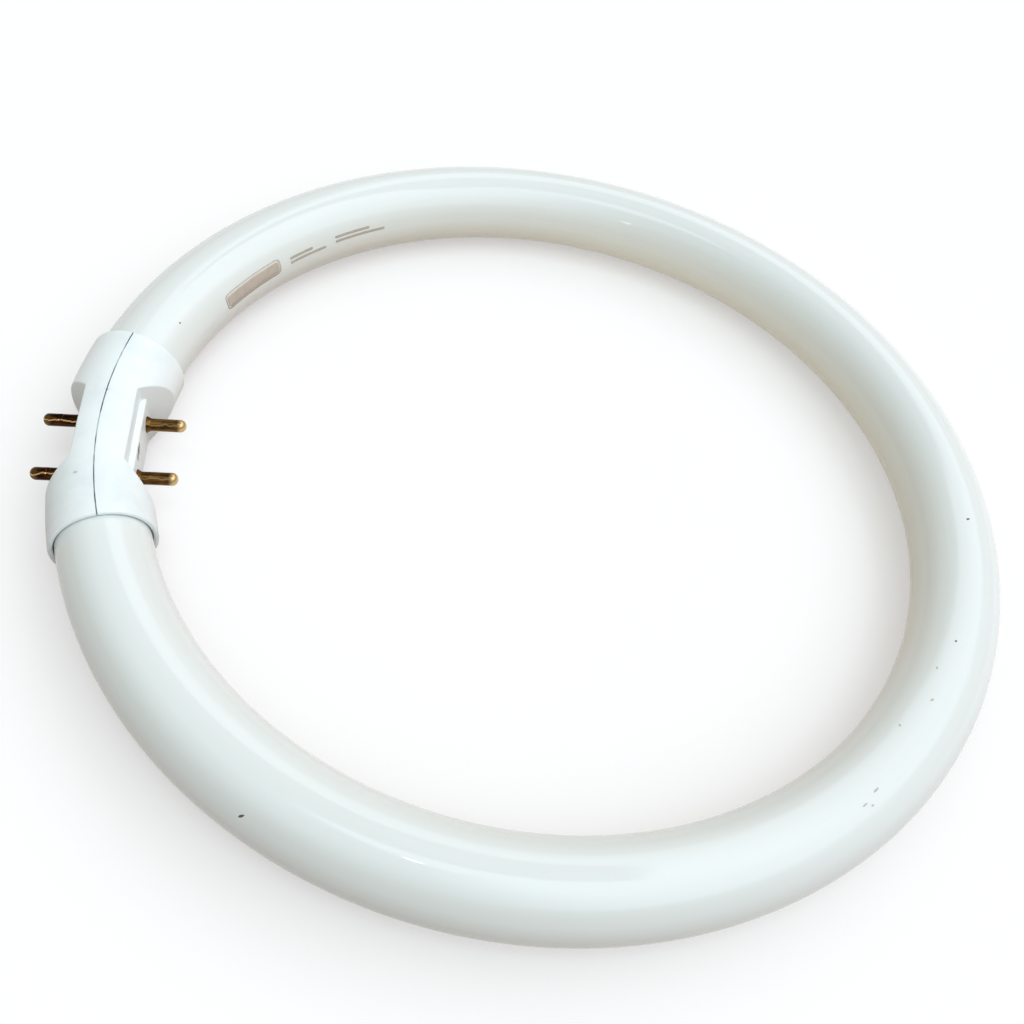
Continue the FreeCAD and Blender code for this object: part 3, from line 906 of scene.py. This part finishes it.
@dataclass
class TubePrint:
    """The print on the glass: a framed plain field and bars, with no words."""

    finishes: dict[InkTone, Finish]
    wrap: TubeWrap
    thickness: float = 0.012
    layer: float = 0.004
    step: float = 0.3
    fewest_columns: int = 4
    fewest_rows: int = 6
    fields: tuple[InkField, ...] = (
        InkField(142.8, 163.0, 18.0, 3.4, 1.0),
        InkField(142.8, 163.0, 17.5, 2.9, 0.8, InkTone.PALE),
        InkField(142.8, 163.0, 16.9, 2.3, 0.6, InkTone.FIELD),
        InkField(130.6, 168.0, 10.5, 0.6, 0.3),
        InkField(131.9, 161.0, 6.8, 0.6, 0.3),
        InkField(120.2, 166.0, 13.5, 0.6, 0.3),
        InkField(121.6, 159.0, 9.5, 0.6, 0.3),
    )

    def add_field(self, form: bmesh.types.BMesh, ink: InkField) -> None:
        """Adds one thin closed field in flat coordinates.

        Args:
            form: Mesh that gets the field.
            ink: The field.
        """
        x, y = self.wrap.flat_spot(ink.ring_angle, ink.section_angle)
        columns = max(self.fewest_columns, round(ink.length / self.step))
        rows = max(self.fewest_rows, round(ink.height / self.step))
        layers = []
        top_level = self.thickness + self.layer * ink.tone.value
        for level in (top_level, -self.thickness):
            grid = []
            for r in range(rows + 1):
                v = (2 * r / rows - 1) * ink.height / 2
                into_corner = max(0.0, abs(v) - (ink.height / 2 - ink.corner))
                cut = ink.corner - math.sqrt(max(0.0, ink.corner**2 - into_corner**2))
                half = ink.length / 2 - cut
                line = []
                for c in range(columns + 1):
                    u = (2 * c / columns - 1) * half
                    line.append(form.verts.new((x + u * MM, y + v * MM, level * MM)))
                grid.append(line)
            layers.append(grid)
        top, bottom = layers
        for r in range(rows):
            for c in range(columns):
                form.faces.new((top[r][c], top[r][c + 1], top[r + 1][c + 1], top[r + 1][c]))
                form.faces.new((bottom[r + 1][c], bottom[r + 1][c + 1], bottom[r][c + 1], bottom[r][c]))
        edge = [(0, c) for c in range(columns)] + [(r, columns) for r in range(rows)]
        edge += [(rows, c) for c in range(columns, 0, -1)] + [(r, 0) for r in range(rows, 0, -1)]
        for (r, c), (s, d) in zip(edge, edge[1:] + edge[:1]):
            form.faces.new((top[s][d], top[r][c], bottom[r][c], bottom[s][d]))

    def build_tone(self, tone: InkTone, finish: Finish) -> None:
        """Builds the fields of one ink and lays them on the glass.

        Args:
            tone: The ink.
            finish: Its finish.
        """
        label = tone.name.lower()
        sheet = new_object(f"tube_print_{label}")
        form = bmesh.new()
        for ink in self.fields:
            if ink.tone is tone:
                self.add_field(form, ink)
        form.to_mesh(sheet.data)
        form.free()
        model = NodesModel(f"{label}_print_on_tube", {**self.wrap.sizes(), "Material": finish.make()})
        model.end(self.wrap.lay(model, model.given["Geometry"]))
        model.run(sheet)
        turn_outward(sheet)
        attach(sheet, BODY)
        LOG.info("print, %s: %d faces", label, len(sheet.data.polygons))

    def build(self) -> None:
        """Builds the print, one piece for each ink."""
        for tone, finish in self.finishes.items():
            self.build_tone(tone, finish)


@dataclass(frozen=True)
class Mark:
    """One spot of dirt: its place on the tube and its slant, in degrees, and its size, in millimetres."""

    ring_angle: float
    section_angle: float
    length: float
    width: float
    slant: float


@dataclass
class TubeDirt:
    """Spots of one kind of dirt that stick to the glass."""

    kind: MarkKind
    finish: Finish
    wrap: TubeWrap
    marks: tuple[Mark, ...]
    height: float = 0.03
    unevenness: float = 0.35
    uneven_mm: float = 0.3
    uneven_detail: float = 2.0
    grain_subdivisions: int = 3
    film_points: int = 32
    seed: int = 7

    def tree(self) -> NodesModel:
        """Makes the tree that sets an uneven fleck at each mark and lays it on the tube.

        Returns:
            The tree.
        """
        sizes = {**self.wrap.sizes(), "Unevenness": self.unevenness * MM, "Seed": self.seed}
        model = NodesModel(f"{self.kind.value}_on_tube", {**sizes, "Material": self.finish.make()})
        tree, given = model.tree, model.given
        # Each fleck has a half size of one, so that a mark's half sizes are its scale
        if self.kind is MarkKind.GRIT:
            grain = {"Radius": 1.0, "Subdivisions": self.grain_subdivisions}
            fleck = add_node(tree, "GeometryNodeMeshIcoSphere", grain)
        else:
            film = {"Vertices": self.film_points, "Radius": 1.0, "Depth": 2.0}
            fleck = add_node(tree, "GeometryNodeMeshCylinder", film)
        size, slant = (
            add_node(tree, "GeometryNodeInputNamedAttribute", {"Name": name}, data_type="FLOAT_VECTOR")
            for name in ("size", "slant")
        )
        turn = add_node(tree, "FunctionNodeEulerToRotation", {0: slant})
        spread = {"Points": given["Geometry"], "Instance": fleck, "Rotation": turn, "Scale": size}
        placed = add_node(tree, "GeometryNodeInstanceOnPoints", spread)
        real = add_node(tree, "GeometryNodeRealizeInstances", {"Geometry": placed})
        # Noise pushes each fleck's outline in and out, so that no two are alike
        spot = add_node(tree, "GeometryNodeInputPosition")
        noise = {"Vector": spot, "W": given["Seed"]}
        noise |= {"Scale": per_metre(self.uneven_mm), "Detail": self.uneven_detail}
        rough = add_node(tree, NOISE, noise, noise_dimensions="4D").outputs["Color"]
        centred = add_node(tree, VECTOR, {0: rough, 1: (0.5, 0.5, 0.5)}, operation="SUBTRACT")
        level = add_node(tree, VECTOR, {0: centred, 1: (1.0, 1.0, 0.0)}, operation="MULTIPLY")
        push = add_node(tree, VECTOR, {0: level, "Scale": given["Unevenness"]}, operation="SCALE")
        uneven = add_node(tree, "GeometryNodeSetPosition", {"Geometry": real, "Offset": push})
        model.end(self.wrap.lay(model, uneven), soft=self.kind is MarkKind.GRIT)
        return model

    def build(self) -> None:
        """Builds the spots, as one piece."""
        spots = new_object(f"tube_{self.kind.value}")
        mesh = spots.data
        places = [(*self.wrap.flat_spot(mark.ring_angle, mark.section_angle), 0.0) for mark in self.marks]
        mesh.from_pydata(places, [], [])
        size = mesh.attributes.new("size", "FLOAT_VECTOR", "POINT")
        slant = mesh.attributes.new("slant", "FLOAT_VECTOR", "POINT")
        for i, mark in enumerate(self.marks):
            size.data[i].vector = (mark.length / 2 * MM, mark.width / 2 * MM, self.height * MM)
            slant.data[i].vector = (0.0, 0.0, math.radians(mark.slant))
        self.tree().run(spots)
        turn_outward(spots)
        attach(spots, BODY)
        LOG.info("%s: %d spots", self.kind.value, len(self.marks))


@dataclass
class CarriedOver:
    """Solids whose shape is right as it is, and which only get a finish."""

    nodes: dict[str, Object]

    def dress(self, names: list[str], finish: Finish) -> None:
        """Gives some solids one finish.

        Args:
            names: Names of the solids.
            finish: The finish.
        """
        material = finish.make()
        for name in names:
            obj = self.nodes[name]
            if not obj.material_slots:
                obj.data.materials.append(material)
            for slot in obj.material_slots:
                slot.link = "OBJECT"
                slot.material = material
            LOG.info("%s: %s", name, finish.name)


@dataclass
class Studio:
    """Floor, soft light and camera."""

    floor_z: float
    floor_size: float = 6.0
    floor_seen: str = "#FFFFFF"
    floor_glow: float = 0.45
    floor_bounce: str = "#896550"
    # A pale card inside the ring, right of its middle
    card_bounce: str = "#ECD6BC"
    card_place: Triple = (0.030, 0.024, 0.0)
    card_edges: Span = (0.095, 0.035)
    sky_above: str = "#B7C1BF"
    sky_level: str = "#B39F8B"
    sky_below: str = "#AA6C59"
    sky_axis: Triple = (-0.30, -0.40, 0.86)
    sky_light: float = 1.0
    # Heights and bearings are in degrees, and bearings run from the right by the rear
    window_colour: str = "#EAF1FB"
    window_light: float = 1.68
    window_heights: Band = (24.0, 36.0, 98.0, 99.0)
    window_bearings: Band = (-120.0, -60.0, 84.0, 96.0)
    overhead: Band = (70.0, 80.0, 98.0, 99.0)
    skylight: float = 2.15
    skylight_heights: Band = (48.0, 62.0, 98.0, 99.0)
    backdrop_seen: str = "#D6CABD"
    backdrop_heights: Band = (-99.0, -98.0, 22.0, 34.0)
    # A dark patch of the ceiling, measured in heights of the ceiling
    ceiling_across: Band = (-99.0, -98.0, 0.28, 0.32)
    ceiling_along: Band = (-0.05, 0.05, 0.66, 0.74)
    ceiling_horizon: float = 0.02
    lamp_place: Triple = (-0.045, -0.115, 0.177)
    lamp_radius: float = 0.005
    lamp_watts: float = 0.012
    camera_lens: float = 39.207
    camera_sensor: float = 36.0
    camera_near: float = 0.005
    camera_place: Triple = (-0.039217, -0.134985, 0.162785)
    camera_turn: Triple = (37.478, -8.516, -3.512)

    def sight(self, tree: Tree) -> Node:
        """Adds a mask of the rays that see the background: those of the camera, of gloss and through glass.

        Args:
            tree: Tree that gets the nodes.

        Returns:
            The mask.
        """
        ray = add_node(tree, "ShaderNodeLightPath").outputs
        both = add_node(tree, MATH, {0: ray["Is Camera Ray"], 1: ray["Is Glossy Ray"]}, operation="MAXIMUM")
        return add_node(tree, MATH, {0: both, 1: ray["Is Transmission Ray"]}, operation="MAXIMUM")

    def band(self, tree: Tree, value: Source, edges: Band) -> Node:
        """Adds a mask that rises and falls over a value.

        Args:
            tree: Tree that gets the nodes.
            value: The value.
            edges: Where the mask starts, is full, starts to fade and has ended.

        Returns:
            The mask.
        """
        first, full, last, end = edges
        rise, fall = (
            add_node(tree, RANGE, {"Value": value, FROM: ends}, interpolation_type="SMOOTHSTEP")
            for ends in ((first, full), (end, last))
        )
        return add_node(tree, MATH, {0: rise, 1: fall}, operation="MULTIPLY")

    def floor_material(self) -> Material:
        """Makes the floor's material, which shows white, keeps the shadow and throws back warm light.

        Returns:
            The material.
        """
        material = bpy.data.materials.new("pale_floor")
        material.use_nodes = True
        tree = material.node_tree
        tree.nodes.clear()
        place = add_node(tree, "ShaderNodeTexCoord").outputs["Object"]
        off = add_node(tree, VECTOR, {0: place, 1: self.card_place}, operation="SUBTRACT")
        card = add_node(tree, RANGE, {"Value": from_axis(tree, off), FROM: self.card_edges})
        colours = (self.floor_bounce, self.card_bounce)
        thrown = add_node(tree, MIX, {0: card, COLOURS: colours}, data_type="RGBA")
        bounce = add_node(tree, "ShaderNodeBsdfDiffuse", {"Color": thrown})
        white = linear(self.floor_seen)
        lit = [share * (1 - self.floor_glow) for share in white[:3]]
        matt = add_node(tree, "ShaderNodeBsdfDiffuse", {"Color": (*lit, 1.0)})
        glow = add_node(tree, "ShaderNodeEmission", {"Color": white, "Strength": self.floor_glow})
        shown = add_node(tree, "ShaderNodeAddShader", {0: matt, 1: glow})
        surface = add_node(tree, "ShaderNodeMixShader", {0: self.sight(tree), 1: bounce, 2: shown})
        add_node(tree, "ShaderNodeOutputMaterial", {"Surface": surface})
        return material

    def add_floor(self) -> None:
        """Lays the floor."""
        form = bmesh.new()
        bmesh.ops.create_grid(form, x_segments=1, y_segments=1, size=self.floor_size / 2)
        bmesh.ops.translate(form, verts=form.verts, vec=(0, 0, self.floor_z))
        floor = new_object("floor")
        form.to_mesh(floor.data)
        form.free()
        floor.data.materials.append(self.floor_material())
        floor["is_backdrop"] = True

    def room(self, tree: Tree, way: Source) -> Node:
        """Adds the light of the room's walls, cool above and warm below.

        Args:
            tree: Tree that gets the nodes.
            way: Direction that is looked in.

        Returns:
            The light.
        """
        axis = tuple(Vector(self.sky_axis).normalized())
        facing = add_node(tree, VECTOR, {0: way, 1: axis}, operation="DOT_PRODUCT")
        share = add_node(tree, RANGE, {"Value": facing, FROM: (-1.0, 1.0)})
        ramp = add_node(tree, "ShaderNodeValToRGB", {"Fac": share})
        stops = ramp.color_ramp.elements
        stops.new(0.5)
        for stop, colour in zip(stops, (self.sky_below, self.sky_level, self.sky_above)):
            stop.color = linear(colour)
        return add_node(tree, "ShaderNodeBackground", {"Color": ramp, "Strength": self.sky_light})

    def windows(self, tree: Tree, way: Source, height: Source) -> Node:
        """Adds windows from the front round by the right to the rear, and a dark patch of the ceiling.

        Args:
            tree: Tree that gets the nodes.
            way: Direction that is looked in.
            height: Its height over the horizon, in degrees.

        Returns:
            The light.
        """
        east, north, up = add_node(tree, "ShaderNodeSeparateXYZ", {0: way}).outputs
        bearing = add_node(tree, MATH, {0: north, 1: east}, operation="ARCTAN2")
        bearing = add_node(tree, MATH, {0: bearing}, operation="DEGREES")
        above = add_node(tree, MATH, {0: up, 1: self.ceiling_horizon}, operation="MAXIMUM")
        across = add_node(tree, MATH, {0: east, 1: above}, operation="DIVIDE")
        along = add_node(tree, MATH, {0: north, 1: above}, operation="DIVIDE")
        patch_sides = {0: self.band(tree, across, self.ceiling_across)}
        patch_sides[1] = self.band(tree, along, self.ceiling_along)
        patch = add_node(tree, MATH, patch_sides, operation="MULTIPLY")
        clear = add_node(tree, MATH, {0: 1.0, 1: patch}, operation="SUBTRACT")
        around = self.band(tree, bearing, self.window_bearings)
        top = self.band(tree, height, self.overhead)
        panes = add_node(tree, MATH, {0: around, 1: top}, operation="MAXIMUM")
        raised = self.band(tree, height, self.window_heights)
        mask = add_node(tree, MATH, {0: panes, 1: raised}, operation="MULTIPLY")
        mask = add_node(tree, MATH, {0: mask, 1: clear}, operation="MULTIPLY")
        high = self.band(tree, height, self.skylight_heights)
        level = add_node(tree, RANGE, {"Value": high, TO: (self.window_light, self.skylight)})
        bright = add_node(tree, MATH, {0: mask, 1: level}, operation="MULTIPLY")
        return add_node(tree, "ShaderNodeBackground", {"Color": self.window_colour, "Strength": bright})

    def add_sky(self) -> None:
        """Surrounds the lamp with a soft room, its windows and a pale backdrop near the horizon."""
        world = bpy.data.worlds.new("soft_room")
        world.use_nodes = True
        tree = world.node_tree
        tree.nodes.clear()
        way = add_node(tree, "ShaderNodeTexCoord").outputs["Generated"]
        up = add_node(tree, "ShaderNodeSeparateXYZ", {0: way}).outputs["Z"]
        height = add_node(tree, MATH, {0: up}, operation="ARCSINE")
        height = add_node(tree, MATH, {0: height}, operation="DEGREES")
        sources = {0: self.room(tree, way), 1: self.windows(tree, way, height)}
        light = add_node(tree, "ShaderNodeAddShader", sources)
        low = self.band(tree, height, self.backdrop_heights)
        seen = add_node(tree, MATH, {0: self.sight(tree), 1: low}, operation="MULTIPLY")
        pale = add_node(tree, "ShaderNodeBackground", {"Color": self.backdrop_seen, "Strength": 1.0})
        shown = add_node(tree, "ShaderNodeMixShader", {0: seen, 1: light, 2: pale})
        add_node(tree, "ShaderNodeOutputWorld", {"Surface": shown})
        bpy.context.scene.world = world

    def add_lamp(self) -> None:
        """Sets a small lamp beside the camera, which shows as two glints on the glass."""
        lamp = bpy.data.lights.new("small_lamp", "POINT")
        lamp.shadow_soft_size = self.lamp_radius
        lamp.energy = self.lamp_watts
        obj = new_object("small_lamp", lamp)
        obj.matrix_world = Matrix.Translation(Vector(self.lamp_place))

    def add_camera(self) -> None:
        """Sets the camera at the photograph's viewpoint."""
        view = bpy.data.cameras.new("camera")
        view.lens = self.camera_lens
        view.sensor_width = self.camera_sensor
        view.clip_start = self.camera_near
        turn = Euler([math.radians(angle) for angle in self.camera_turn])
        obj = new_object("camera", view)
        obj.matrix_world = Matrix.LocRotScale(Vector(self.camera_place), turn, None)
        bpy.context.scene.camera = obj

    def build(self) -> None:
        """Builds the studio."""
        self.add_floor()
        self.add_sky()
        self.add_lamp()
        self.add_camera()
        bpy.context.scene.view_settings.view_transform = "Standard"
        LOG.info("studio: floor at %.2f mm", self.floor_z / MM)


@dataclass
class CircularTube:
    """The whole lamp."""

    nodes: dict[str, Object]
    wrap: TubeWrap = field(default_factory=TubeWrap)
    grit: tuple[Mark, ...] = (
        Mark(158.85, 130.1, 0.45, 0.35, 10.0),
        Mark(-9.8, 92.2, 0.75, 0.4, -50.0),
        Mark(-30.83, 100.1, 0.4, 0.35, 0.0),
        Mark(-125.7, 34.6, 1.1, 0.4, 55.0),
    )
    smears: tuple[Mark, ...] = (
        Mark(-36.0, 109.9, 0.7, 0.3, 20.0),
        Mark(-41.0, 98.3, 0.8, 0.4, -20.0),
        Mark(-46.8, 111.9, 0.6, 0.35, 40.0),
        Mark(-56.1, 80.6, 1.3, 0.35, 5.0),
        Mark(-58.4, 75.4, 1.1, 0.3, 0.0),
        Mark(-57.6, 70.0, 0.5, 0.3, 0.0),
    )
    inks: dict[InkTone, Finish] = field(
        default_factory=lambda: {
            InkTone.LINE: FiredInk(name="fired_ink_line", thick="#B4AEA4", thin="#C1BBB2"),
            InkTone.PALE: FiredInk(name="fired_ink_pale", thick="#DAD5CB", thin="#E0DCD4"),
            InkTone.FIELD: FiredInk(name="fired_ink_field"),
        }
    )
    smear: Finish = Dirt(name="dried_smear", dark="#B9B8AF", pale="#CBCBC3")
    smear_height: float = 0.012
    smear_unevenness: float = 0.2
    # The outer pins' brass is darker as painted shade, standing for the dark surroundings they reflect, and
    # carries a strong painted highlight line; the inner ones were rubbed by a lampholder, and their lighter
    # tip is partly a painted highlight
    outer_brass: Finish = TarnishedBrass(
        name="dark_brass_with_painted_shade_and_highlight",
        bare="#5A3218",
        brown="#22100A",
        rubbed_and_highlight="#E3BE80",
        tip_mm=-93.0,
        tip_share=0.12,
        highlight_share=0.9,
        roughness=(0.12, 0.2),
    )
    inner_brass: Finish = TarnishedBrass(name="rubbed_brass_with_painted_highlight", tip_mm=-67.7)

    def build(self) -> None:
        """Builds and dresses every piece."""
        GlassRing(PowderedGlass()).build()
        TubePrint(self.inks, self.wrap).build()
        TubeDirt(MarkKind.GRIT, Dirt(), self.wrap, self.grit).build()
        thin = {"height": self.smear_height, "unevenness": self.smear_unevenness}
        TubeDirt(MarkKind.SMEAR, self.smear, self.wrap, self.smears, **thin).build()
        carried = CarriedOver(self.nodes)
        carried.dress(["outer_cap_half", "inner_cap_half"], MouldedPolyester())
        for row, brass in ((PinRow.OUTER, self.outer_brass), (PinRow.INNER, self.inner_brass)):
            carried.dress([f"{row.value}_{place.value}_pin" for place in Place], brass)
        leads = [f"{row.value}_{place.value}_lead" for row in PinRow for place in Place]
        carried.dress(leads, BareWire())


def main() -> None:
    """Loads the frame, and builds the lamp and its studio."""
    logging.basicConfig(level=logging.INFO, format="%(message)s")
    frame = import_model()
    solid_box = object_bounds()
    CircularTube(frame["nodes"]).build()
    Studio(floor_z=solid_box[0][2]).build()


if __name__ == "__main__":
    main()
